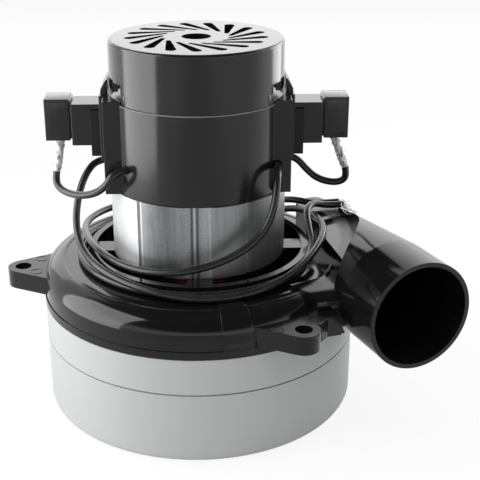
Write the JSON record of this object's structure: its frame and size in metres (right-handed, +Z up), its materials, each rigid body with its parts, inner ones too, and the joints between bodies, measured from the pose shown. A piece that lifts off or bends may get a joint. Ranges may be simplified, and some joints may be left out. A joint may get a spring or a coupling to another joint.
{
  "type": "vacuum motor unit",
  "caption": "Blower motor for a vacuum cleaner: round fan housing with an inlet eye below and a tangential outlet horn, open motor frame, brush gear and vented top cap.",
  "frame": {"origin": "on the motor axis at the underside of the fan housing, in the plane of its inlet rim", "axes": "+Z runs up the shaft from the inlet eye to the vented top cap, X is the line of the two brushes, and the outlet horn points towards -Y and +X"},
  "size_m": [0.2031, 0.1569, 0.1698],
  "materials": {
    "shell_steel": "drawn sheet steel, zinc plated, satin",
    "fan_aluminium": "pressed aluminium, plain",
    "black_moulding": "glossy black moulding",
    "cooling_fan_plastic": "dark moulded fan",
    "lamination_steel": "stacked grey laminations",
    "copper_winding": "enamelled copper wire",
    "commutator_copper": "turned copper bars",
    "insulation": "hard insulating tube",
    "bright_steel": "turned and plated steel",
    "bearing_steel": "ground bearing steel",
    "holder_plastic": "glossy black moulding",
    "clip_steel": "plated spring steel",
    "terminal_cap_plastic": "glossy black moulding",
    "brass_tube": "folded brass",
    "carbon": "pressed carbon, dull",
    "sleeve_plastic": "pale shrunk tubing",
    "lead_insulation": "soft black insulation",
    "tinned_wire": "tinned copper strands, frayed"
  },
  "bodies": {
    "motor_frame": {"bare_strands": "tinned_wire", "bearing_retainer": "bright_steel", "brush_housing": "black_moulding", "discharge_horn": "black_moulding", "fan_end_bracket": "black_moulding", "field_stack": "lamination_steel", "front_field_coil": "copper_winding", "front_supply_lead": "lead_insulation", "left_brush_holder": "holder_plastic", "left_brush_lead": "lead_insulation", "left_brush_shunt": "copper_winding", "left_brush_spring": "clip_steel", "left_brush_tube": "brass_tube", "left_holder_clip": "holder_plastic", "left_lead_sleeve": "sleeve_plastic", "left_terminal_cap": "terminal_cap_plastic", "left_terminal_tab": "brass_tube", "lower_bearing_balls": "bearing_steel", "lower_bearing_outer": "bearing_steel", "lower_shell": "shell_steel", "rear_field_coil": "copper_winding", "rear_supply_lead": "lead_insulation", "retainer_screws": "bright_steel", "right_brush_holder": "holder_plastic", "right_brush_lead": "lead_insulation", "right_brush_shunt": "copper_winding", "right_brush_spring": "clip_steel", "right_brush_tube": "brass_tube", "right_holder_clip": "holder_plastic", "right_lead_sleeve": "sleeve_plastic", "right_terminal_cap": "terminal_cap_plastic", "right_terminal_tab": "brass_tube", "stationary_fan": "fan_aluminium", "through_bolts": "bright_steel", "top_cap": "black_moulding", "upper_bearing_balls": "bearing_steel", "upper_bearing_outer": "bearing_steel", "upper_shell": "shell_steel"},
    "rotor": {"shaft": "bright_steel", "armature_core": "lamination_steel", "armature_winding": "copper_winding", "commutator": "commutator_copper", "insulating_sleeve": "insulation", "first_stage_fan": "fan_aluminium", "second_stage_fan": "fan_aluminium", "fan_spacer": "bright_steel", "bearing_spacer": "bright_steel", "fan_washer": "bright_steel", "fan_nut": "bright_steel", "cooling_fan": "cooling_fan_plastic", "lower_bearing_inner": "bearing_steel", "upper_bearing_inner": "bearing_steel"},
    "left_brush": {"left_carbon_brush": "carbon"},
    "right_brush": {"right_carbon_brush": "carbon"}
  },
  "joints": [
    {"name": "rotor_spin", "type": "hinge", "parent": "motor_frame", "child": "rotor", "pos_m": [0, 0, 0.08], "axis": [0, 0, 1], "continuous": true},
    {"name": "left_brush_slide", "type": "slide", "parent": "motor_frame", "child": "left_brush", "axis": [-1, 0, 0], "range_m": [0, 0.006], "stiffness_N_per_m": 60, "springref_m": -0.01, "deforming": ["left_brush_spring", "left_brush_shunt"]},
    {"name": "right_brush_slide", "type": "slide", "parent": "motor_frame", "child": "right_brush", "axis": [1, 0, 0], "range_m": [0, 0.006], "stiffness_N_per_m": 60, "springref_m": -0.01, "deforming": ["right_brush_spring", "right_brush_shunt"]}
  ]
}
